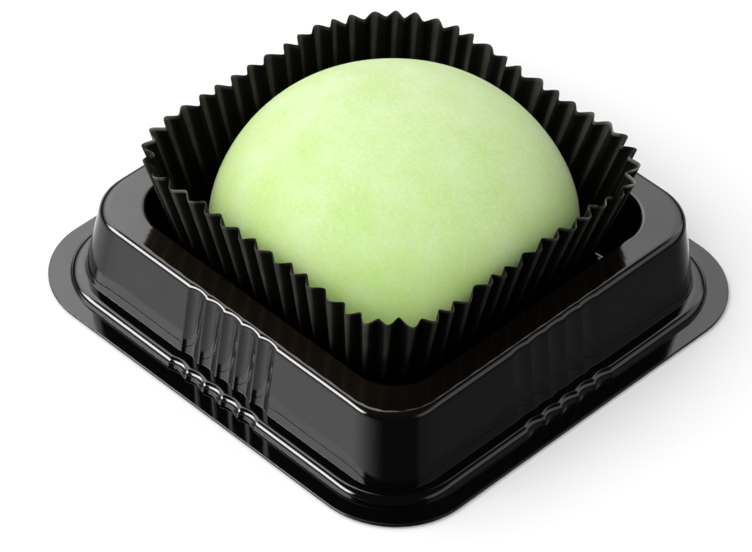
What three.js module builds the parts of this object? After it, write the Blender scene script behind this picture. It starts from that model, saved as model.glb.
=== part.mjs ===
// A mochi rice cake in a pleated paper case, standing in its own thermoformed tray.
// Millimetres, +Z up. The origin is the middle of the tray's underside.
// Three pieces: the tray (a thin formed sheet), the paper case in its recess, and the mochi in the case.
// Each one is a lathe form whose rings are bent from circles into rounded squares.

import * as THREE from 'three';

// ---- Driving dimensions -------------------------------------------------------------------------

const gap = 0.3;                    // clearance between pieces that touch
const quarter = Math.PI / 2;

// Tray: half widths are measured from the axis to the middle of a side.
const sheet = 0.5;                  // thickness of the formed sheet
const trayHeight = 15.5;
const flangeHalf = 43;
const flangeCorner = 14.2;
const ledgeHalf = 40;
const ledgeCorner = 12.6;
const ledgeTop = 2;
const ledgeRound = 0.8;             // radius of the ledge's outer edge
const wallFootHalf = 37.3;
const wallTopHalf = 35.75;
const wallCorner = 9;
const wallFillet = 0.7;             // radius where the wall meets the ledge
const rimRound = 1.2;               // radius of the top edge
const recessHalf = 30.2;
const recessCorner = 7.4;
const recessRound = 0.5;            // radius of the recess's edge
const recessDraft = 1.2;            // how much narrower the recess is at its floor
const recessFloor = 1.5;            // height of the recess's floor
const floorRound = 1.5;
const topOblong = 0.01;             // the top is this share longer along Y than a square, and shorter along X

// Flutes: round grooves in the middle of each side of the tray, with narrow ribs between them.
const flutesPerSide = 5;
const flutePitch = 3.9;
const fluteDepth = 0.8;             // of a groove; the ribs stay at the wall's own level
const fluteShareAtRim = 0.7;        // how deep they are at the top edge, compared with the ledge
const stepsPerFlute = 4;
const arcSteps = 6;                 // flat pieces in a quarter turn of a corner

// Paper case
const paper = 0.5;                  // wall thickness of the solid
const caseFoot = recessFloor + gap;
const caseRim = 27.2;
const caseFootHalf = 24.4;
const caseRimHalf = 31;
const caseFootCorner = 9;
const caseRimCorners = [11.8, 11.3, 20, 10.4];   // the paper is bent by hand, so each corner differs
const caseShift = [-0.3, -0.8];     // the case stands a little off the tray's axis
const pleatsPerCorner = 15;         // from the middle of one side to the middle of the next
const pleatDepthFoot = 1;
const pleatDepthRim = 1.4;
const wallLevels = 4;

// Mochi
const mochiBase = caseFoot + paper + gap;
const mochiTop = 35.6;
const mochiWaist = 11;              // height of its widest ring
const mochiHalf = 30;               // radius of the free dome at the waist
const mochiPower = 2.15;            // 2 is an ellipse, more is fuller
const mochiBaseHalf = 21;
const mochiShift = [0.3, 0.2];
const squeezeSharpness = 20;        // how abruptly the dome turns into the case's shape
const mochiSides = 64;
const mochiDomeLevels = 12;
const mochiBellyLevels = 4;

// ---- Rounded squares ----------------------------------------------------------------------------

// Turns a point of one side (along it, and out from the axis) onto side 0, 1, 2 or 3:
// side 0 faces -Y, and the others follow anticlockwise seen from above.
function onSide(side, along, out) {
  const turn = side * quarter;
  return [
    along * Math.cos(turn) + out * Math.sin(turn),
    along * Math.sin(turn) - out * Math.cos(turn),
  ];
}

// Lathe form whose ring j, station i is moved to place(i, j). The profile runs from axis to axis.
function bentLathe(rings, stations, place) {
  const profile = Array.from({ length: rings }, (_, j) => {
    const atAxis = j === 0 || j === rings - 1;
    return new THREE.Vector2(atAxis ? 0 : 1, j);
  });
  const geometry = new THREE.LatheGeometry(profile, stations);
  const position = geometry.attributes.position;
  for (let i = 0; i <= stations; i += 1) {
    for (let j = 0; j < rings; j += 1) {
      position.setXYZ(i * rings + j, ...place(i % stations, j));
    }
  }
  geometry.computeVertexNormals();
  return geometry;
}

// Points of an arc in a profile, as [half width, height]. Angles start at "outwards" and go up.
function arc(centreHalf, centreHeight, radius, from, to, steps) {
  return Array.from({ length: steps + 1 }, (_, k) => {
    const angle = from + (to - from) * k / steps;
    return [centreHalf + radius * Math.cos(angle), centreHeight + radius * Math.sin(angle)];
  });
}

// ---- Tray ---------------------------------------------------------------------------------------

// One ring of the tray: where it runs, its corner radius and how strongly the flutes show on it.
function ring([half, height], corner, flute = 0) {
  return { half, height, corner, flute };
}

// Half width of the wall's outside at a height.
function wallHalfAt(height) {
  const share = (height - ledgeTop) / (trayHeight - ledgeTop);
  return wallFootHalf + (wallTopHalf - wallFootHalf) * share;
}

// The upper face, from the middle of the recess's floor out to the edge of the flange.
function trayUpperFace() {
  const floorHalf = recessHalf - recessDraft;
  const rimEdge = wallHalfAt(trayHeight) - rimRound;
  return [
    ring([0, recessFloor], 0),
    ...arc(floorHalf - floorRound, recessFloor + floorRound, floorRound, -quarter, 0, 2)
      .map((point) => ring(point, recessCorner - recessRound)),
    ...arc(recessHalf + recessRound, trayHeight - recessRound, recessRound, 2 * quarter, quarter, 2)
      .map((point) => ring(point, recessCorner + recessRound)),
    ...arc(rimEdge, trayHeight - rimRound, rimRound, quarter, 0, 3)
      .map((point, k) => ring(point, wallCorner, fluteShareAtRim * k / 3)),
    ...arc(wallHalfAt(ledgeTop) + wallFillet, ledgeTop + wallFillet, wallFillet, 2 * quarter, 3 * quarter, 2)
      .map((point) => ring(point, wallCorner + wallFillet, 1)),
    ...arc(ledgeHalf - ledgeRound, ledgeTop - ledgeRound, ledgeRound, quarter, 0, 2)
      .map((point) => ring(point, ledgeCorner, 1)),
    ring([ledgeHalf + 0.2, sheet], ledgeCorner, 1),
    ring([flangeHalf, sheet], flangeCorner),
  ];
}

// The underside follows the upper face one sheet thickness inside it.
function trayUnderside() {
  const floorHalf = recessHalf - recessDraft;
  const shoulder = trayHeight - rimRound;
  return [
    ring([flangeHalf, 0], flangeCorner),
    ring([ledgeHalf - sheet + 0.2, 0], ledgeCorner - sheet, 1),
    ring([ledgeHalf - sheet, ledgeTop - sheet], ledgeCorner - sheet, 1),
    ring([wallFootHalf - sheet, ledgeTop - sheet], wallCorner - sheet, 1),
    ring([wallHalfAt(shoulder) - sheet, shoulder], wallCorner - sheet, fluteShareAtRim),
    ring([wallHalfAt(trayHeight) - rimRound, trayHeight - sheet], wallCorner - sheet),
    ring([recessHalf + recessRound, trayHeight - sheet], recessCorner + recessRound),
    ring([recessHalf + sheet, trayHeight - recessRound - sheet], recessCorner + sheet),
    ring([floorHalf + sheet, recessFloor + floorRound], recessCorner),
    ring([floorHalf - floorRound, recessFloor - sheet], recessCorner - recessRound),
    ring([0, recessFloor - sheet], 0),
  ];
}

// Stations round the tray: on each side its left end, the flutes, its right end, then the corner.
function trayStations() {
  const fluteSteps = flutesPerSide * stepsPerFlute;
  const stations = [];
  for (let side = 0; side < 4; side += 1) {
    stations.push({ side, along: -Infinity, turn: 0 });
    for (let k = 0; k <= fluteSteps; k += 1) {
      stations.push({ side, along: (k / fluteSteps - 0.5) * flutesPerSide * flutePitch, turn: 0 });
    }
    for (let k = 0; k < arcSteps; k += 1) {
      stations.push({ side, along: Infinity, turn: quarter * k / arcSteps });
    }
  }
  return stations;
}

// Depth of the flutes at a distance along the side: 0 on a rib and past their ends, 1 in a groove.
function fluteWave(along) {
  const halfWidth = flutesPerSide * flutePitch / 2;
  return Math.abs(along) < halfWidth ? Math.abs(Math.sin(Math.PI * (along + halfWidth) / flutePitch)) : 0;
}

function tray() {
  const rings = [...trayUpperFace(), ...trayUnderside()].reverse();
  const stations = trayStations();
  return bentLathe(rings.length, stations.length, (i, j) => {
    const { side, along, turn } = stations[i];
    const { half, height, corner, flute } = rings[j];
    const straight = half - corner;
    const level = THREE.MathUtils.clamp(along, -straight, straight);
    const wave = flute * fluteDepth * fluteWave(level);
    const sideways = level + (turn > 0 ? corner * Math.sin(turn) : 0);
    const out = straight + corner * Math.cos(turn) - wave;
    const [x, y] = onSide(side, sideways, out);
    const oblong = topOblong * Math.max(height - ledgeTop, 0) / (trayHeight - ledgeTop);
    return [x * (1 - oblong), y * (1 + oblong), height];
  });
}

// ---- Paper case ---------------------------------------------------------------------------------

// A point of a rounded square between the middle of one side (share 0) and the next (share 1),
// with its outward direction, both as seen from the side the quarter starts on.
function quarterPoint(half, corner, share) {
  const straight = half - corner;
  const bend = corner * quarter;
  const distance = share * (2 * straight + bend);
  if (distance < straight) return { along: distance, out: half, turn: 0 };
  if (distance > straight + bend) {
    return { along: half, out: 2 * straight + bend - distance, turn: quarter };
  }
  const turn = (distance - straight) / corner;
  return { along: straight + corner * Math.sin(turn), out: straight + corner * Math.cos(turn), turn };
}

// One level of the case: its outline, moved in by "inset", with the pleats folded into it.
function caseLevel(share, inset) {
  return {
    share,
    height: THREE.MathUtils.lerp(caseFoot, caseRim, share),
    half: THREE.MathUtils.lerp(caseFootHalf, caseRimHalf, share),
    depth: THREE.MathUtils.lerp(pleatDepthFoot, pleatDepthRim, share),
    inset,
  };
}

function paperCase() {
  const shares = Array.from({ length: wallLevels }, (_, k) => k / (wallLevels - 1));
  const middle = (height) => ({ half: 0, height });
  const floorTop = { ...caseLevel(0, paper), height: caseFoot + paper };
  const inner = shares.slice(1).map((share) => caseLevel(share, paper));
  const levels = [
    middle(caseFoot),
    ...shares.map((share) => caseLevel(share, 0)),
    ...inner.reverse(),
    floorTop,
    middle(caseFoot + paper),
  ];
  const stationsPerCorner = 2 * pleatsPerCorner;
  return bentLathe(levels.length, 4 * stationsPerCorner, (i, j) => {
    const side = Math.floor(i / stationsPerCorner);
    const step = i % stationsPerCorner;
    const level = levels[j];
    if (level.half === 0) return [...caseShift, level.height];
    const corner = THREE.MathUtils.lerp(caseFootCorner, caseRimCorners[side], level.share);
    const point = quarterPoint(level.half, corner, (step + 0.5) / stationsPerCorner);
    const fold = level.inset + (step % 2) * level.depth;
    const along = point.along - fold * Math.sin(point.turn);
    const out = point.out - fold * Math.cos(point.turn);
    const [x, y] = onSide(side, along, out);
    return [x + caseShift[0], y + caseShift[1], level.height];
  });
}

// ---- Mochi --------------------------------------------------------------------------------------

// The profile of the free dome, from the middle of the flat base up to the top.
function mochiProfile() {
  const belly = Array.from({ length: mochiBellyLevels }, (_, k) => {
    const bend = quarter * k / mochiBellyLevels;
    return {
      half: mochiBaseHalf + (mochiHalf - mochiBaseHalf) * Math.sin(bend),
      height: mochiBase + (mochiWaist - mochiBase) * (1 - Math.cos(bend)),
    };
  });
  const dome = Array.from({ length: mochiDomeLevels }, (_, k) => {
    const rise = Math.sin(quarter * k / mochiDomeLevels);
    return {
      half: mochiHalf * (1 - rise ** mochiPower) ** (1 / mochiPower),
      height: mochiWaist + (mochiTop - mochiWaist) * rise,
    };
  });
  return [{ half: 0, height: mochiBase }, ...belly, ...dome, { half: 0, height: mochiTop }];
}

// Distance from the case's middle to its pleats at a height, in the direction (x, y).
function caseReach(x, y, height) {
  const share = THREE.MathUtils.clamp((height - caseFoot) / (caseRim - caseFoot), 0, 1);
  const side = y < 0 ? (x < 0 ? 3 : 0) : (x < 0 ? 2 : 1);
  const { half, depth } = caseLevel(share, paper);
  const inset = depth + paper + gap;
  const corner = THREE.MathUtils.lerp(caseFootCorner, caseRimCorners[side], share) - inset;
  const straight = half - inset - corner;
  const [short, long] = [Math.abs(x), Math.abs(y)].sort((a, b) => a - b).map((c) => c / Math.hypot(x, y));
  if (short / long * (straight + corner) < straight) return (straight + corner) / long;
  return straight * (short + long) + Math.sqrt(corner ** 2 - (straight * (long - short)) ** 2);
}

// The soft cake is a dome where it stands free, and takes the case's shape where it fills the case.
function mochi() {
  const profile = mochiProfile();
  return bentLathe(profile.length, mochiSides, (i, j) => {
    const { half, height } = profile[j];
    const angle = 2 * Math.PI * i / mochiSides;
    const x = half * Math.sin(angle) + mochiShift[0] - caseShift[0];
    const y = -half * Math.cos(angle) + mochiShift[1] - caseShift[1];
    const filling = Math.hypot(x, y) / caseReach(x, y, height);
    const squeeze = (1 + filling ** squeezeSharpness) ** (-1 / squeezeSharpness);
    return [x * squeeze + caseShift[0], y * squeeze + caseShift[1], height];
  });
}

// ---- The pieces with their materials --------------------------------------------------------------

function piece(name, geometry, colour, roughness) {
  const material = new THREE.MeshStandardMaterial({ color: colour, roughness, metalness: 0 });
  const mesh = new THREE.Mesh(geometry, material);
  mesh.name = name;
  return mesh;
}

const packedMochi = new THREE.Group();
packedMochi.add(
  piece('tray', tray(), 0x0c0c0e, 0.12),
  piece('paper_case', paperCase(), 0x1d1e18, 0.45),
  piece('mochi', mochi(), 0xd3eab1, 0.85),
);

export default packedMochi;
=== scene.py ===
# %% [markdown]
# # A mochi rice cake in its paper case and tray
#
# A green mochi sits in a pleated black paper case, and the case stands in a small tray formed from a
# sheet of glossy black plastic. The CAD model says where each piece is and how large it is. Each cell
# below makes one piece, finish or light on top of it. Z points up. Shapes are worked out in
# millimetres and put into their meshes in metres, and finishes, lights and the camera are in metres.

import bpy
import numpy as np
from mathutils import Matrix


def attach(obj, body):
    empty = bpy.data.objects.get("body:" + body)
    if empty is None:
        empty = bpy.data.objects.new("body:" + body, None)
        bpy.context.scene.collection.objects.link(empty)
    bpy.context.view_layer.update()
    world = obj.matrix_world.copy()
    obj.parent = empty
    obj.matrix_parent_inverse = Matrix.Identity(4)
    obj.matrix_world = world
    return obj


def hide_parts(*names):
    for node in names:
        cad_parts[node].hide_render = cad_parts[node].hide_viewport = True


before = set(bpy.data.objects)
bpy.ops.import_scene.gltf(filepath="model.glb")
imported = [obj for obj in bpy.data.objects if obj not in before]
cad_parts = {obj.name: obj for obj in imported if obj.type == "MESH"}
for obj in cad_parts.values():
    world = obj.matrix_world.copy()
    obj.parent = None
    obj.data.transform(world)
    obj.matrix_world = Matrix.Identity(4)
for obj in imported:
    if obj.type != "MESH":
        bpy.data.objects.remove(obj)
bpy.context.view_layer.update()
MM = 0.001
QUARTER = np.pi / 2  # a quarter turn, in radians


# %% [markdown]
# ## Surfaces from rings
#
# Tray, case and mochi are all one kind of surface: a stack of rings, each ring running once round the
# object, closed at both ends by a single point. A lathe would give round rings, and a box modifier
# would give flat sides. A grid of points that is worked out with a formula gives rounded squares,
# pleats and flutes in one go, and the grid turns into a closed mesh without any gap at its seam.

# %% Mesh helpers
def skin(name, start, rings, end, finish, **marks):
    """Closed surface over rings[j, i], station i of ring j, with one point before the first ring and
    one after the last. Stations run anticlockwise seen from above, and rings run out along the
    underside, up the outside and back in over the top, so the faces point outwards.
    Each mark is one number per point of the grid, kept as an attribute for the finish to read."""
    count, stations = rings.shape[:2]
    points = np.vstack([start, rings.reshape(-1, 3), end])
    grid = 1 + np.arange(count * stations).reshape(count, stations)
    ahead = np.roll(grid, -1, axis=1)
    quads = np.stack([grid[:-1], ahead[:-1], ahead[1:], grid[1:]], axis=-1).reshape(-1, 4)
    first = np.stack([np.zeros(stations, int), ahead[0], grid[0]], axis=-1)
    last = np.stack([np.full(stations, len(points) - 1), grid[-1], ahead[-1]], axis=-1)
    mesh = bpy.data.meshes.new(name)
    mesh.from_pydata(points * MM, [], first.tolist() + quads.tolist() + last.tolist())
    mesh.polygons.foreach_set("use_smooth", np.ones(len(mesh.polygons), bool))
    for mark, values in marks.items():
        values = np.concatenate([[values[0, 0]], np.ravel(values), [values[-1, 0]]])
        mesh.attributes.new(mark, "FLOAT", "POINT").data.foreach_set("value", values.astype(np.float32))
    mesh.materials.append(finish)
    mesh.update()
    piece = bpy.data.objects.new(name, mesh)
    bpy.context.scene.collection.objects.link(piece)
    print(f"{name}: {2 * (len(quads) + stations)} triangles, {np.ptp(points, axis=0).round(1)} mm")
    return piece


def on_side(side, along, out):
    """Points of one side, given along it and out from the axis, turned onto side 0, 1, 2 or 3.
    Side 0 faces -Y, and the others follow anticlockwise seen from above."""
    turn = side * QUARTER
    return along * np.cos(turn) + out * np.sin(turn), along * np.sin(turn) - out * np.cos(turn)


def lerp(low, high, share):
    """low where share is 0, high where it is 1, and in proportion in between."""
    return low + (high - low) * share


def smooth(low, high, value):
    """0 below low, 1 above high, and a smooth step in between."""
    share = np.clip((value - low) / (high - low), 0, 1)
    return share * share * (3 - 2 * share)


# %% [markdown]
# ## Finishes from expressions
#
# A finish is a graph of nodes, and most of its nodes are arithmetic. Wiring them by hand hides the
# formula, so `Wire` wraps a socket: writing `1 - mask` adds the Math node and its links. Every other
# node comes from `Graph.node`, which sets the node up and then fills its sockets.

# %% Node graph helpers
MIX_LOW, MIX_HIGH, MIX_RESULT = 6, 7, 2  # a Mix node's colours, after its numbers and its vectors


class Wire:
    """A node's output inside one graph. Arithmetic on it adds Math nodes to the graph."""

    def __init__(self, graph, socket):
        self.graph, self.socket = graph, socket

    def math(self, operation, *operands):
        settings = {"operation": operation}
        return self.graph.node("ShaderNodeMath", settings, dict(enumerate(operands)))

    def __add__(self, other):
        return self.math("ADD", self, other)

    def __sub__(self, other):
        return self.math("SUBTRACT", self, other)

    def __rsub__(self, other):
        return self.math("SUBTRACT", other, self)

    def __mul__(self, other):
        return self.math("MULTIPLY", self, other)

    def __abs__(self):
        return self.math("ABSOLUTE", self)

    __radd__, __rmul__ = __add__, __mul__

    def above(self, edge, width):
        """0 below edge - width, 1 above edge + width, and a smooth step in between."""
        settings = {"interpolation_type": "SMOOTHSTEP"}
        inputs = {"Value": self, "From Min": edge - width, "From Max": edge + width}
        return self.graph.node("ShaderNodeMapRange", settings, inputs)


class Graph:
    """The nodes of one finish, or of the world."""

    def __init__(self, owner):
        owner.use_nodes = True
        self.owner, self.tree = owner, owner.node_tree
        self.tree.nodes.clear()

    def node(self, kind, settings=None, inputs=None, output=0):
        """Adds a node, sets it up, fills its sockets with values or Wires, and returns one output."""
        made = self.tree.nodes.new(kind)
        for name, value in (settings or {}).items():
            setattr(made, name, value)
        for name, value in (inputs or {}).items():
            if isinstance(value, Wire):
                self.tree.links.new(value.socket, made.inputs[name])
            else:
                made.inputs[name].default_value = value
        return Wire(self, made.outputs[output]) if made.outputs else None

    def blend(self, low, high, share):
        """Colour that goes from low to high as share goes from 0 to 1."""
        settings = {"data_type": "RGBA"}
        inputs = {"Factor": share, MIX_LOW: colour(low), MIX_HIGH: colour(high)}
        return self.node("ShaderNodeMix", settings, inputs, MIX_RESULT)

    def noise(self, place, scale, detail=2.0, roughness=0.5):
        """Noise from 0 to 1 whose blobs are about 1 / scale metres across."""
        inputs = {"Vector": place, "Scale": scale, "Detail": detail, "Roughness": roughness}
        return self.node("ShaderNodeTexNoise", None, inputs)

    def bump(self, height, distance):
        """Normal of a surface that is raised by distance where height is 1."""
        inputs = {"Height": height, "Distance": distance, "Strength": 1.0}
        return self.node("ShaderNodeBump", None, inputs)

    def surface(self, **inputs):
        """Ends the graph in a Principled shader with these sockets, and returns the material."""
        named = {name.replace("_", " "): value for name, value in inputs.items()}
        shader = self.node("ShaderNodeBsdfPrincipled", None, named)
        self.node("ShaderNodeOutputMaterial", None, {"Surface": shader})
        print(f"{self.owner.name}: {len(self.tree.nodes)} nodes")
        return self.owner


def colour(value):
    """A colour socket takes four numbers, and a Wire stays as it is."""
    return value if isinstance(value, Wire) else (*value, 1.0)


def finish_graph(name):
    """A new material's graph, with the object's own coordinates in metres."""
    graph = Graph(bpy.data.materials.new(name))
    return graph, graph.node("ShaderNodeTexCoord", output="Object")


def along_axes(graph, place, axes):
    """The coordinates of a place along the named axes, one Wire each."""
    return [graph.node("ShaderNodeSeparateXYZ", None, {"Vector": place}, axis) for axis in axes]


# %% [markdown]
# ## The tray's plastic
#
# The tray is a sheet of black polystyrene, warmed and sucked down over a mould. It is close to a
# mirror, so what gives it away as plastic is its faint waviness: straight reflections wobble a little.
# A broad low bump makes that waviness, and a cloudy roughness stands for handling. The flat top has a
# painted brown reflection in patches, browner than the walls and least so on the +X side.

# %% Black gloss
# The brown black is a painted reflection on the top face, faded from x = 28 mm towards +X.
PLASTIC_BLACK, TOP_REFLECTION_BROWN = (0.0014, 0.0012, 0.0011), (0.0065, 0.0045, 0.003)
POLYSTYRENE_IOR = 1.56
TOP_FACE, TOP_FACE_BLUR = 0.0151, 0.0002
REFLECTION_FADE_FROM, REFLECTION_FADE_BLUR, REFLECTION_FADE_BY = 0.028, 0.004, 0.6
WAVE_HEIGHT, PEEL_SHARE = 0.00012, 0.06


def black_gloss():
    """Near-black mirror: a cloudy roughness, a wavy normal, and a painted brown reflection at the
    height of the top face.
    """
    graph, place = finish_graph("black_gloss")
    waves = graph.noise(place, 90, 1)  # 11 mm across
    peel = graph.noise(place, 900, 1)  # 1 mm across
    clouds = graph.noise(place, 60, 4, 0.6)  # 17 mm across
    x, height = along_axes(graph, place, "XZ")
    # Painted reflection: brown in patches on the top face, weaker towards +X.
    reflection_fade = 1 - REFLECTION_FADE_BY * x.above(REFLECTION_FADE_FROM, REFLECTION_FADE_BLUR)
    top_reflection = height.above(TOP_FACE, TOP_FACE_BLUR) * (0.5 + clouds) * reflection_fade
    return graph.surface(
        Base_Color=graph.blend(PLASTIC_BLACK, TOP_REFLECTION_BROWN, top_reflection),
        Roughness=0.05 + 0.07 * clouds,
        IOR=POLYSTYRENE_IOR,
        Normal=graph.bump(waves + PEEL_SHARE * peel, WAVE_HEIGHT),
    )


# %% [markdown]
# ## The tray
#
# The tray is one sheet, 0.5 mm thick, with a flat flange, a low ledge, a sloping wall, a flat top and
# a square recess. Extruding and bevelling a box would do the big shape, but the flutes pressed into
# the middle of each side run over the top edge, down the wall and out over the ledge. A profile of
# rings, each with its own corner radius and its own share of the flutes, carries them all the way.

# %% Tray profile
SHEET = 0.5
TRAY_HEIGHT = 15.5
FLANGE, LEDGE, LEDGE_TOP = 43, 40, 2
WALL_FOOT, WALL_TOP = 37.3, 35.75
RECESS, RECESS_FLOOR, RECESS_DRAFT = 30.2, 1.5, 1.2
FLANGE_CORNER, LEDGE_CORNER, WALL_CORNER, RECESS_CORNER, FLOOR_CORNER = 14.2, 12.6, 9, 7.4, 6.9
RIM_ROUND, LEDGE_ROUND, TIGHT_ROUND, EDGE_ROUND = 1.3, 1.3, 0.05, 0.12
RECESS_RIM_ROUND, RECESS_FOOT_ROUND = 0.5, 1.5
RIM_END = 0.07  # angle at which the rim's rounding gives way to the wall
RISER_OUT, RISER_UNDER = 0.07, 0.3
WALL_FLUTE, LEDGE_FLUTE, RISER_FLUTE = 0.6, 0.5, 0.65
MIDDLE, MIDDLE_CORNER = 6, 2  # the recess's last ring, which the floor's middle point closes


def arc(half, height, radius, start, end, steps, corner, flute=(0, 0)):
    """Rings along an arc of the profile round (half, height). Angles start at outwards and go up.
    Each row is half width, height, corner radius and share of the flutes."""
    angle = np.linspace(start, end, steps + 1)
    rows = half + radius * np.cos(angle), height + radius * np.sin(angle)
    return np.stack([*rows, np.full(steps + 1, corner), np.linspace(*flute, steps + 1)], axis=-1)


def straight(start, end, steps):
    """Rings between two rows of a profile, both left out. They crowd at both ends, which keeps the
    shading of a flat stretch flat right up to the rounding next to it."""
    share = smooth(0, 1, smooth(0, 1, np.arange(1, steps)[:, None] / steps))
    return lerp(np.array(start), np.array(end), share)


def wall_half(height):
    """Half width of the wall's outside at a height."""
    return lerp(WALL_FOOT, WALL_TOP, (height - LEDGE_TOP) / (TRAY_HEIGHT - LEDGE_TOP))


def joined(parts, steps=8):
    """The parts of a profile in order, with straight rings between them."""
    rows = [parts[0]]
    for before, after in zip(parts, parts[1:]):
        rows += [straight(before[-1], after[0], steps), after]
    return np.vstack(rows)


floor_half = RECESS - RECESS_DRAFT
upper_face = joined([
    np.array([[MIDDLE, RECESS_FLOOR, MIDDLE_CORNER, 0]]),
    arc(floor_half - RECESS_FOOT_ROUND, RECESS_FLOOR + RECESS_FOOT_ROUND, RECESS_FOOT_ROUND,
        -QUARTER, 0, 6, FLOOR_CORNER),
    arc(RECESS + RECESS_RIM_ROUND, TRAY_HEIGHT - RECESS_RIM_ROUND, RECESS_RIM_ROUND,
        2 * QUARTER, QUARTER, 6, RECESS_CORNER + RECESS_RIM_ROUND),
    arc(wall_half(TRAY_HEIGHT) - RIM_ROUND, TRAY_HEIGHT - RIM_ROUND, RIM_ROUND,
        QUARTER, RIM_END, 10, WALL_CORNER, (0, WALL_FLUTE)),
    arc(wall_half(LEDGE_TOP) + TIGHT_ROUND, LEDGE_TOP + TIGHT_ROUND, TIGHT_ROUND,
        2 * QUARTER, 3 * QUARTER, 6, WALL_CORNER + TIGHT_ROUND, (WALL_FLUTE, WALL_FLUTE)),
    arc(LEDGE - LEDGE_ROUND, LEDGE_TOP - LEDGE_ROUND, LEDGE_ROUND,
        QUARTER, 0, 8, LEDGE_CORNER, (LEDGE_FLUTE, RISER_FLUTE)),
    arc(LEDGE + RISER_OUT, SHEET + TIGHT_ROUND, TIGHT_ROUND,
        2 * QUARTER, 3 * QUARTER, 3, LEDGE_CORNER + RISER_OUT, (RISER_FLUTE, RISER_FLUTE)),
    arc(FLANGE - EDGE_ROUND, SHEET - EDGE_ROUND, EDGE_ROUND, QUARTER, 0, 3, FLANGE_CORNER),
])

# The underside is the upper face moved in by the sheet's thickness, with corners in place of arcs.
ledge_under, wall_under, recess_under = LEDGE_CORNER - SHEET, WALL_CORNER - SHEET, RECESS_CORNER + SHEET
top_under, shoulder, floor_under = TRAY_HEIGHT - SHEET, TRAY_HEIGHT - 3 * SHEET, RECESS_FLOOR - SHEET
underside = joined([
    arc(FLANGE - EDGE_ROUND, EDGE_ROUND, EDGE_ROUND, 0, -QUARTER, 3, FLANGE_CORNER),
    np.array([
        [LEDGE - RISER_UNDER, 0, ledge_under, 1],
        [LEDGE - SHEET, LEDGE_TOP - SHEET, ledge_under, 1],
    ]),
    np.array([[WALL_FOOT - SHEET, LEDGE_TOP - SHEET, wall_under, 1]]),
    np.array([
        [wall_half(shoulder) - SHEET, shoulder, wall_under, 1],
        [wall_half(shoulder) - 3 * SHEET, top_under, wall_under, 0],
    ]),
    np.array([
        [RECESS + SHEET, top_under, recess_under, 0],
        [RECESS + SHEET, top_under - SHEET, recess_under, 0],
    ]),
    np.array([
        [floor_half + SHEET, 2 * RECESS_FLOOR, RECESS_CORNER, 0],
        [floor_half - 2 * SHEET, floor_under, FLOOR_CORNER, 0],
        [MIDDLE, floor_under, MIDDLE_CORNER, 0],
    ]),
])
tray_profile = np.vstack([upper_face, underside])[::-1]
print("tray profile:", len(tray_profile), "rings")


# %% Tray surface
FLUTES, FLUTE_PITCH, FLUTE_DEPTH = 5, 3.9, 0.8
FAINT_SIDES, TOP_OBLONG = 0.4, 0.01
FLUTED = FLUTES * FLUTE_PITCH / 2
STEPS_PER_FLUTE, CORNER_STEPS = 16, 18
BESIDE_FLUTES = np.array([0.08, 0.3, 2, 8, 15])
PAST_SIDE = 99  # further along than any side reaches, so that it is held at the side's end


def flute_wave(along):
    """Depth of the flutes at a distance along a side: half a sine wave for each round groove, so that
    two grooves meet in a crisp rib where the depth is 0."""
    return (np.abs(along) < FLUTED) * np.abs(np.sin(np.pi * (along + FLUTED) / FLUTE_PITCH))


def tray_stations():
    """Side, distance along it and turn round its far corner, for every station round the tray."""
    fluted = np.linspace(-FLUTED, FLUTED, FLUTES * STEPS_PER_FLUTE + 1)
    plain = FLUTED + BESIDE_FLUTES
    bend = QUARTER * np.arange(CORNER_STEPS) / CORNER_STEPS
    straights = np.concatenate([[-PAST_SIDE], -plain[::-1], fluted, plain])
    along = np.concatenate([straights, np.full(CORNER_STEPS, PAST_SIDE)])
    turn = np.concatenate([np.zeros(len(straights)), bend])
    side = np.repeat(np.arange(4), len(along))
    return side, np.tile(along, 4), np.tile(turn, 4)


def tray_surface(profile):
    """Rounded square of each ring: straight sides with the flutes pressed in, and round corners.
    Above the ledge the flutes of sides 1 and 3, which face +X and -X, are fainter. Towards the top the
    square becomes a little longer along Y and shorter along X."""
    half, height, corner, flute = (column[:, None] for column in profile.T)
    side, along, turn = tray_stations()
    level = np.clip(along, corner - half, half - corner)
    faint = np.where((side % 2 == 1) & (height > LEDGE_TOP), FAINT_SIDES, 1)
    out = half - corner + corner * np.cos(turn) - flute * faint * FLUTE_DEPTH * flute_wave(level)
    x, y = on_side(side, level + corner * np.sin(turn), out)
    oblong = TOP_OBLONG * np.maximum(height - LEDGE_TOP, 0) / (TRAY_HEIGHT - LEDGE_TOP)
    return np.stack([x * (1 - oblong), y * (1 + oblong), np.broadcast_to(height, x.shape)], axis=-1)


tray = skin("tray_shell", [0, 0, floor_under], tray_surface(tray_profile), [0, 0, RECESS_FLOOR],
            black_gloss())
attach(tray, "root")
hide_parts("tray")


# %% [markdown]
# ## The paper
#
# The case is greaseproof paper, dyed black: nearly dull and faintly fibrous. A painted highlight makes
# it paler in a thin line along each outer fold high up, and along the cut edge, most of all in the
# corners at -X -Y and +X +Y. Painted shade makes it blackest low down, in the valleys and on the +X
# side. Three attributes of the mesh say where the cut edge, the folds and the height are, because a
# pattern in space can't follow pleats.

# %% Black paper
# The first black is painted shade and the second the paper's own black; the two greys are painted
# highlights.
PAINTED_SHADE_BLACK, PAPER_BLACK = (0.0008, 0.0008, 0.0006), (0.0098, 0.0096, 0.0080)
FOLD_HIGHLIGHT_GREY, EDGE_HIGHLIGHT_GREY = (0.045, 0.044, 0.038), (0.20, 0.19, 0.165)
PLUS_X_SHADE_FROM, PLUS_X_SHADE_BLUR, PLUS_X_SHADE_BY = 0.0245, 0.002, 0.6
LIT_CORNERS_FROM, LIT_CORNERS_BLUR, EDGE_HIGHLIGHT_ELSEWHERE = 0.046, 0.01, 0.15
FIBRE_HEIGHT = 0.00006


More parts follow.
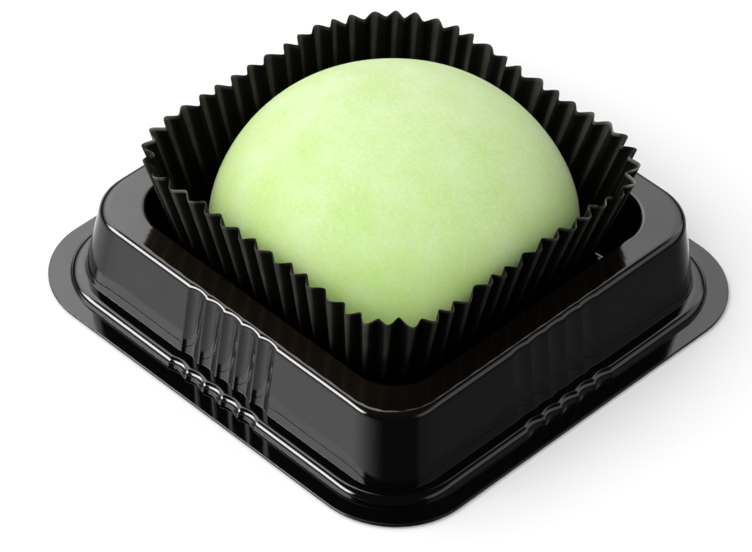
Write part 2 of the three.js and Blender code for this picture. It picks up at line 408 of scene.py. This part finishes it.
def black_paper():
    """Dull black with painted light: paler on folds (ridge), at the rim (cut) and high up (level), with
    painted shade in the valleys and towards +X.
    """
    graph, place = finish_graph("black_paper")
    cut, ridge, level = (
        graph.node("ShaderNodeAttribute", {"attribute_name": mark}, output="Fac")
        for mark in ("cut", "ridge", "level")
    )
    x, y = along_axes(graph, place, "XY")
    fibres = graph.noise(place, 2600, 3, 0.7)  # 0.4 mm across
    clouds = graph.noise(place, 220, 3)  # 5 mm across
    # Painted highlight: a paler line along the outer folds high up.
    fold_highlight = (ridge + 0.3 * level).above(1.1, 0.12) * (0.35 + 0.9 * clouds)
    # Painted shade: darker low down and from x = 24.5 mm towards +X.
    lit_share = (level + 0.5 * clouds).above(0.85, 0.35) * (1 - PLUS_X_SHADE_BY * x.above(PLUS_X_SHADE_FROM, PLUS_X_SHADE_BLUR))
    # Painted highlight along the cut edge, strongest in the corners at -X -Y and +X +Y.
    lit_corners = EDGE_HIGHLIGHT_ELSEWHERE + (1 - EDGE_HIGHLIGHT_ELSEWHERE) * abs(x + y).above(LIT_CORNERS_FROM, LIT_CORNERS_BLUR)
    edge_highlight = cut * clouds.above(0.5, 0.1) * lit_corners
    # Painted shade in the valleys between the folds, on top of the painted low and +X shade.
    body = graph.blend(PAINTED_SHADE_BLACK, PAPER_BLACK, lit_share * (0.1 + 0.9 * ridge * ridge))
    with_fold_highlight = graph.blend(body, FOLD_HIGHLIGHT_GREY, fold_highlight * lit_share)
    return graph.surface(
        Base_Color=graph.blend(with_fold_highlight, EDGE_HIGHLIGHT_GREY, edge_highlight),
        Roughness=0.5 + 0.2 * fibres,
        Specular_IOR_Level=0.04,
        Normal=graph.bump(fibres + 1.5 * clouds, FIBRE_HEIGHT),
    )


# %% [markdown]
# ## The paper case
#
# The case starts as a flat disc that is pressed into sixty pleats, and then takes the square shape of
# the tray's recess. Solidify on a folded strip would work, but it pinches in the valleys. Here the
# wall's outside and inside are the same formula, set apart by the paper's thickness. Small waves in
# the place and depth of the pleats keep them from looking machined.

# %% Paper case shape
CASE_FOOT, CASE_RIM, PAPER = 1.8, 27.2, 0.16
CASE_FOOT_HALF, CASE_RIM_HALF, CASE_FOOT_CORNER = 24.4, 31, 9
CASE_RIM_CORNERS = np.array([11.8, 11.3, 20, 10.4])
CASE_SHIFT = np.array([-0.3, -0.8])
PLEATS_PER_CORNER, STEPS_PER_PLEAT = 15, 14
FIRST_PLEAT = 0.25
PLEAT_FOOT, PLEAT_RIM, PLEAT_VARIES = 1.0, 1.65, 0.16
CREASE, VALLEY_POWER = 0.86, 1.15
RIM_WAVE, RIM_WAVE_FROM = 0.25, 0.4
STATIONS = 4 * PLEATS_PER_CORNER * STEPS_PER_PLEAT
draw = np.random.default_rng(7)


def wander(angle, lowest, highest):
    """A smooth random curve round the case, from about -1 to 1: a sum of sine waves that each go round
    a whole number of times, from lowest up to highest, and start at random."""
    waves = np.arange(lowest, highest)
    start = draw.uniform(0, 2 * np.pi, len(waves))
    return np.sin(np.multiply.outer(angle, waves) + start).sum(axis=-1) / np.sqrt(len(waves))


def rounded_square(half, corner, share):
    """Point of a rounded square between the middle of one side, share 0, and of the next, share 1, as
    distance along the side and distance out, with the turn of its outward direction."""
    flat = half - corner
    distance = share * (2 * flat + corner * QUARTER)
    turn = np.clip((distance - flat) / corner, 0, QUARTER)
    along = np.minimum(distance, flat) + corner * np.sin(turn)
    out = flat + corner * np.cos(turn) - np.maximum(distance - flat - corner * QUARTER, 0)
    return along, out, turn


def pleat_fold(phase):
    """0 on an outer fold and 1 in a valley: a triangle wave with slightly rounded tips, which is the
    arcsine of a sine held below 1, and with valleys a little narrower than the folds."""
    triangle = np.arcsin(CREASE * np.sin(phase + QUARTER)) / np.arcsin(CREASE)
    return (0.5 - 0.5 * triangle) ** VALLEY_POWER


def case_surface(levels, inset, fade):
    """Rings of the case: a rounded square that widens with height, moved in by inset and by a wave for
    each pleat. Fade flattens the pleats where the wall turns into the floor. Returns the points and two
    marks: one that is 1 on outer folds and 0 in valleys, and one from 0 at the foot to 1 at the rim."""
    level, inset, fade = (np.asarray(column)[:, None] for column in (levels, inset, fade))
    position = 4 * np.arange(STATIONS) / STATIONS
    side = position.astype(int)
    corner = lerp(CASE_FOOT_CORNER, CASE_RIM_CORNERS[side], np.clip(level, 0, 1))
    along, out, turn = rounded_square(lerp(CASE_FOOT_HALF, CASE_RIM_HALF, level), corner, position % 1)
    phase = (position * PLEATS_PER_CORNER - FIRST_PLEAT) * 2 * np.pi
    fold = pleat_fold(phase + lerp(pleat_lean_foot, pleat_lean_rim, level))
    depth = lerp(PLEAT_FOOT, PLEAT_RIM, level) * (1 + PLEAT_VARIES * pleat_size) * fade
    inward = inset + fold * depth
    x, y = on_side(side, along - inward * np.sin(turn), out - inward * np.cos(turn))
    uneven = RIM_WAVE * rim_height * smooth(RIM_WAVE_FROM, 1, level)
    height = np.broadcast_to(lerp(CASE_FOOT, CASE_RIM, level) + uneven, x.shape)
    points = np.stack([x + CASE_SHIFT[0], y + CASE_SHIFT[1], height], axis=-1)
    return points, 1 - fold, np.broadcast_to(level, fold.shape)


# %% Paper case mesh
LEAN_FOOT, LEAN_RIM = 0.35, 0.6  # how far a pleat strays, in radians, where one pleat is 2 pi
circle = 2 * np.pi * np.arange(STATIONS) / STATIONS
pleat_lean_foot = LEAN_FOOT * wander(circle, 3, 20)
pleat_lean_rim = LEAN_RIM * wander(circle, 3, 26)
pleat_size = wander(circle, 8, 34)
rim_height = wander(circle, 2, 28)
WALL_RINGS, EDGE_LEVEL, EDGE_INSETS = 40, 1.003, PAPER * np.array([0.3, 0.7])
FLOOR_INSETS, FLOOR_FADE = np.array([20, 4, 1.2]), np.array([0, 0.1, 0.5])
climb, whole, on_floor = np.linspace(0, 1, WALL_RINGS), np.ones(WALL_RINGS), np.zeros(len(FLOOR_FADE))
outside, ridge_out, level_out = case_surface(climb, 0 * whole, whole)
inside, ridge_in, level_in = case_surface(climb[::-1], PAPER * whole, whole)
edge, ridge_edge, level_edge = case_surface([EDGE_LEVEL, EDGE_LEVEL], EDGE_INSETS, [1, 1])
below, *_ = case_surface(on_floor, FLOOR_INSETS, FLOOR_FADE)
above, *_ = case_surface(on_floor, FLOOR_INSETS[::-1], FLOOR_FADE[::-1])
above[..., 2] += PAPER
inside[-1, :, 2] += PAPER
case_rings = np.vstack([below, outside, edge, inside, above])
flat = np.zeros((len(FLOOR_FADE), STATIONS))
ridges = np.vstack([flat, ridge_out, ridge_edge, ridge_in, flat])
levels = np.vstack([flat, level_out, level_edge, level_in, flat])
cut_edge = np.zeros(case_rings.shape[:2])
first_cut = len(below) + len(outside) - 1
cut_edge[first_cut:first_cut + len(edge) + 2] = 1
middle = [*CASE_SHIFT, CASE_FOOT]
case = skin("paper_case_pleated", middle, case_rings, [*CASE_SHIFT, CASE_FOOT + PAPER], black_paper(),
            ridge=ridges, cut=cut_edge, level=levels)
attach(case, "root")
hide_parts("paper_case")


# %% [markdown]
# ## The mochi's skin
#
# Mochi is glutinous rice pounded to a soft dough and dusted with starch. Light goes a little way in,
# so the shade side stays soft and green: that is subsurface scattering. The dusting is patchy, and
# with a painted sheen it makes the top paler than the dough under it. Inside the case the dough is
# painted a lighter, clearer green, painted light against the shade the case casts on it.

# %% Dusted dough
DOUGH_DEEP, DOUGH_LIGHT, DOUGH_LIGHTENED_INSIDE = (0.455, 0.63, 0.21), (0.505, 0.675, 0.26), (0.62, 0.86, 0.30)
STARCH_AND_SHEEN = (0.83, 0.87, 0.86)
LIGHTENED_UP_TO, LIGHTENED_BLUR = 0.022, 0.010
PALER_TOP_FROM, PALER_TOP_BLUR = 0.024, 0.014
GRAIN_HEIGHT = 0.00008


def dusted_dough():
    """Green dough that light enters, painted lighter inside the case against its shade, under a white
    dust in patches, with more white on top as dust and painted sheen.
    """
    graph, place = finish_graph("dusted_dough")
    [height] = along_axes(graph, place, "Z")
    patches = graph.noise(place, 110, 4, 0.6)  # 9 mm across
    specks = graph.noise(place, 1500, 2, 0.6)  # 0.7 mm across
    grain = graph.noise(place, 4200, 2, 0.6)  # 0.2 mm across
    # Paler top above about 24 mm: starch dust and a painted sheen.
    paler_top = height.above(PALER_TOP_FROM, PALER_TOP_BLUR)
    dust_and_sheen = 0.01 + 0.20 * paler_top + 0.5 * (patches - 0.5) + 0.35 * (specks - 0.5)
    dough = graph.blend(DOUGH_DEEP, DOUGH_LIGHT, patches)
    # Painted light: the dough is lighter below about 22 mm, inside the case, against the shade the case
    # casts.
    dough = graph.blend(DOUGH_LIGHTENED_INSIDE, dough, height.above(LIGHTENED_UP_TO, LIGHTENED_BLUR))
    return graph.surface(
        Base_Color=graph.blend(dough, STARCH_AND_SHEEN, dust_and_sheen),
        Roughness=0.62 + 0.2 * specks,
        Specular_IOR_Level=0.2,
        Subsurface_Weight=1.0,
        Subsurface_Radius=(0.7, 1.0, 0.4),
        Subsurface_Scale=0.005,
        Sheen_Weight=0.05,
        Sheen_Roughness=0.45,
        Sheen_Tint=(0.95, 1.0, 0.9, 1.0),
        Normal=graph.bump(grain + 0.8 * specks + 1.5 * patches, GRAIN_HEIGHT),
    )


# %% [markdown]
# ## The mochi
#
# A soft cake has no straight line anywhere. Where it stands free it is a dome, a little fuller than an
# ellipse, and where it fills the case it takes the case's square shape. A sculpted sphere could do
# it, but one formula does both: the dome's radius is held back smoothly by the reach of the case.

# %% Mochi surface
MOCHI_BASE, MOCHI_TOP, MOCHI_WAIST = 2.6, 35.6, 11
MOCHI_HALF, MOCHI_POWER, MOCHI_BASE_HALF = 30, 2.15, 21
MOCHI_SHIFT = np.array([0.3, 0.2])
MOCHI_SIDES, BELLY_RINGS, DOME_RINGS = 288, 36, 100
CLEAR, SQUEEZE = 0.8, 20
SETTLE, SAG_FROM, SAG_TO = 0.2, 12, 20
BROAD_SAG, FINE_SAG = 0.12, 0.08


def case_reach(x, y, height):
    """Distance from the case's middle to the inner folds of its pleats, in the direction (x, y)."""
    share = np.clip((height - CASE_FOOT) / (CASE_RIM - CASE_FOOT), 0, 1)
    side = np.where(y < 0, np.where(x < 0, 3, 0), np.where(x < 0, 2, 1))
    inset = lerp(PLEAT_FOOT, PLEAT_RIM, share) + CLEAR
    corner = lerp(CASE_FOOT_CORNER, CASE_RIM_CORNERS[side], share) - inset
    flat = lerp(CASE_FOOT_HALF, CASE_RIM_HALF, share) - inset - corner
    size = np.hypot(x, y)
    short, long = np.minimum(abs(x), abs(y)) / size, np.maximum(abs(x), abs(y)) / size
    on_corner = flat * (short + long) + np.sqrt(np.maximum(corner**2 - (flat * (long - short)) ** 2, 0))
    return np.where(short / long * (flat + corner) < flat, (flat + corner) / long, on_corner)


def mochi_surface():
    """Dome over a rounded belly, one ring per level. Each point is drawn in by a factor that is 1 well
    inside the case and the case's reach over its own distance well outside, and slow waves of about
    0.1 mm, with a little settling, keep the top from being perfect."""
    bend = QUARTER * np.arange(1, BELLY_RINGS) / BELLY_RINGS
    rise = np.sin(QUARTER * np.arange(DOME_RINGS) / DOME_RINGS)
    half = np.concatenate([
        lerp(MOCHI_BASE_HALF, MOCHI_HALF, np.sin(bend)),
        MOCHI_HALF * (1 - rise**MOCHI_POWER) ** (1 / MOCHI_POWER),
    ])[:, None]
    height = np.concatenate([
        lerp(MOCHI_BASE, MOCHI_WAIST, 1 - np.cos(bend)),
        lerp(MOCHI_WAIST, MOCHI_TOP, rise),
    ])[:, None]
    angle = 2 * np.pi * np.arange(MOCHI_SIDES) / MOCHI_SIDES
    x = half * np.sin(angle) + MOCHI_SHIFT[0] - CASE_SHIFT[0]
    y = -half * np.cos(angle) + MOCHI_SHIFT[1] - CASE_SHIFT[1]
    filling = np.hypot(x, y) / case_reach(x, y, height)
    squeeze = (1 + filling**SQUEEZE) ** (-1 / SQUEEZE)
    x, y = x * squeeze + CASE_SHIFT[0], y * squeeze + CASE_SHIFT[1]
    sag = BROAD_SAG * np.sin(x / 9 + 1) * np.sin(y / 8 + 2)
    sag = sag + FINE_SAG * np.sin(x / 4.3) * np.sin(y / 5.1 + 1)
    return np.stack([x, y, height + (sag - SETTLE) * smooth(SAG_FROM, SAG_TO, height)], axis=-1)


mochi = skin("mochi_cake", [*MOCHI_SHIFT, MOCHI_BASE], mochi_surface(),
             [*MOCHI_SHIFT, MOCHI_TOP - SETTLE], dusted_dough())
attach(mochi, "root")
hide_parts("mochi")


# %% [markdown]
# ## The floor
#
# A plain pale sheet. It is left out of the tray's reflections, because a studio shows glossy black
# things against cards and soft boxes, not against the table, and the world below stands for those.

# %% Pale floor
PALE_LOW, PALE_HIGH = (0.857, 0.856, 0.864), (0.877, 0.876, 0.884)


def pale_paint():
    """Dull near-white with a mottle too broad and faint to notice."""
    graph, place = finish_graph("pale_paint")
    tone = graph.blend(PALE_LOW, PALE_HIGH, graph.noise(place, 12, 2))
    return graph.surface(Base_Color=tone, Roughness=0.9, Specular_IOR_Level=0.1)


FLOOR_SIZE, FLOOR_HEIGHT = 3.0, -0.0003
corners = FLOOR_SIZE * np.array([(-1, -1), (1, -1), (1, 1), (-1, 1)])
floor_mesh = bpy.data.meshes.new("floor")
floor_mesh.from_pydata([(x, y, FLOOR_HEIGHT) for x, y in corners], [], [(0, 1, 2, 3)])
floor_mesh.materials.append(pale_paint())
floor = bpy.data.objects.new("floor", floor_mesh)
bpy.context.scene.collection.objects.link(floor)
floor.visible_glossy = False
print(f"floor: {2 * FLOOR_SIZE} m across, {-FLOOR_HEIGHT / MM} mm under the tray")


# %% [markdown]
# ## Light
#
# Gloss shows its surroundings, and dull surfaces show only how much light reaches them. The world
# here has both: patches of light that only reflections see, and a soft glow, stronger from the front,
# that only dull surfaces see. Four soft lamps add shape and shadow. They stay out of reflections, so
# the bright lines on the plastic can be placed without moving the light on the cake.

# %% World
LEFTWARDS, BACKWARDS, FRONT = (-0.743, -0.669, 0), (-0.669, 0.743, 0), (-0.34, -0.94, 0)
BOX_START, BOX_END = (-0.99, 0.14, 0), (0.53, -0.85, 0)
PLUS_X, MINUS_X, PLUS_Y, UP = (1, 0, 0), (-1, 0, 0), (0, 1, 0), (0, 0, 1)
DARK_CARD, BACKDROP, DULL_GLOW, DULL_FRONT = 0.03, 1.02, 0.48, 0.55
WALL_GLOW, WALL_LEFT_GLOW, WALL_LEFT_REACH = 1.75, 1.65, 0.26
CLOTH_GLOW, CLOTH_BACK_DIM, CLOTH_FAR_LIFT, DIM_CLOTH_GLOW = 1.12, 0.45, 0.6, 0.085
BOX_GLOW, BOX_RISE, BOX_HALF = 17, 0.47, 0.19
SCREEN_GLOW, SCREEN_RISE, SCREEN_HALF = 1.0, 0.48, 0.24


def studio_world():
    """Radiance by direction: a pale wall behind that is brighter on the left, a pale cloth below, a
    long soft box low in front on the left, a dim screen far on the right, and dark cards elsewhere."""
    graph = Graph(bpy.data.worlds.new("studio"))
    ray = graph.node("ShaderNodeTexCoord", output="Generated")

    def towards(direction):
        """1 where a ray runs along the direction, 0 at right angles to it and -1 against it."""
        settings = {"operation": "DOT_PRODUCT"}
        unit = np.array(direction) / np.linalg.norm(direction)
        return graph.node("ShaderNodeVectorMath", settings, {0: ray, 1: tuple(unit)}, "Value")

    up, left, behind = towards(UP), towards(LEFTWARDS), towards(BACKWARDS)
    lit = left.above(0, 0.12)
    wall = (WALL_GLOW + WALL_LEFT_GLOW * lit) * up.above(0.45, 0.2)
    wall = wall * (behind + WALL_LEFT_REACH * lit).above(0.5, 0.08)
    below = 1 - up.above(0, 0.1)
    cloth = CLOTH_GLOW - CLOTH_BACK_DIM * behind.above(-0.1, 0.1)
    cloth = cloth + CLOTH_FAR_LIFT * behind.above(0.7, 0.1)
    dim_cloth = DIM_CLOTH_GLOW * towards(PLUS_Y).above(0.02, 0.08)
    table = (dim_cloth + towards(MINUS_X).above(0, 0.5) * cloth) * below
    ends = towards(BOX_START).above(0, 0.06) * towards(BOX_END).above(0, 0.1)
    box = BOX_GLOW * (BOX_HALF - abs(up - BOX_RISE)).above(0, 0.05) * ends
    far = towards(PLUS_Y).above(0.05, 0.1) * towards(PLUS_X).above(0.05, 0.1)
    screen = SCREEN_GLOW * far * (SCREEN_HALF - abs(up - SCREEN_RISE)).above(0, 0.05)
    glow = DARK_CARD + wall + table + box + screen
    glossy = graph.node("ShaderNodeLightPath", output="Is Glossy Ray")
    seen = graph.node("ShaderNodeLightPath", output="Is Camera Ray")
    dull = DULL_GLOW + DULL_FRONT * towards(FRONT).above(0.5, 0.4)
    strength = dull + (glow - dull) * glossy
    strength = strength + (BACKDROP - strength) * seen
    shader = graph.node("ShaderNodeBackground", None, {"Color": (1, 1, 1, 1), "Strength": strength})
    graph.node("ShaderNodeOutputWorld", None, {"Surface": shader})
    print("world:", len(graph.tree.nodes), "nodes")
    return graph.owner


bpy.context.scene.world = studio_world()
bpy.context.scene.view_settings.view_transform = "Standard"


# %% Lamps
LAMP_AIM, LAMP_SIZE = np.array([0, 0, 0.02]), 0.6
LAMPS = {
    "left_lamp": ((-0.78, -0.05, 0.85), 2.8),
    "back_lamp": ((-0.55, 0.62, 0.7), 1.9),
    "front_lamp": ((0.42, -0.54, 0.78), 3.9),
    "key_lamp": ((-0.38, -0.66, 0.78), 4.2),
}


def stand(name, data, place, right, up, back):
    """New object at a place, with its own X, Y and Z axes along right, up and back. A lamp or camera
    looks along its own -Z, so it looks away from back."""
    matrix = np.eye(4)
    matrix[:3] = np.stack([right, up, back, place], axis=1)
    thing = bpy.data.objects.new(name, data)
    thing.matrix_world = Matrix(matrix)
    bpy.context.scene.collection.objects.link(thing)
    return thing


def soft_lamp(name, place, power):
    """Square lamp that faces the aim, left out of reflections and of the view."""
    data = bpy.data.lights.new(name, "AREA")
    data.size, data.energy = LAMP_SIZE, power
    back = np.array(place) - LAMP_AIM
    back /= np.linalg.norm(back)
    right = np.cross(UP, back)
    right /= np.linalg.norm(right)
    lamp = stand(name, data, place, right, np.cross(back, right), back)
    lamp.visible_glossy = False
    lamp.visible_camera = False
    print(f"{name}: {power} W")


for name, (place, power) in LAMPS.items():
    soft_lamp(name, place, power)


# %% [markdown]
# ## The camera
#
# It looks down at the near corner from well back, with a long lens, so that parallel edges stay
# almost parallel. The roll tips it a little about its own line of sight, and the slide moves it
# sideways and up in its own frame, in mm.

# %% Camera
AZIMUTH, ELEVATION, ROLL = 0.7336, 0.7533, 0.0620
DISTANCE, LENS, NEAREST = 738.15, 219.0, 0.05
SLIDE_RIGHT, SLIDE_UP = -2.1696, 0.6253

level_reach = np.cos(ELEVATION)
back = np.array([np.sin(AZIMUTH) * level_reach, -np.cos(AZIMUTH) * level_reach, np.sin(ELEVATION)])
right = np.array([np.cos(AZIMUTH), np.sin(AZIMUTH), 0])
up = np.cross(back, right)
camera_data = bpy.data.cameras.new("camera")
camera_data.lens, camera_data.clip_start = LENS, NEAREST
bpy.context.scene.camera = stand(
    "camera",
    camera_data,
    (back * DISTANCE + SLIDE_RIGHT * right + SLIDE_UP * up) * MM,
    np.cos(ROLL) * right + np.sin(ROLL) * up,
    np.cos(ROLL) * up - np.sin(ROLL) * right,
    back,
)
print(f"camera: {DISTANCE} mm away, {LENS} mm lens")
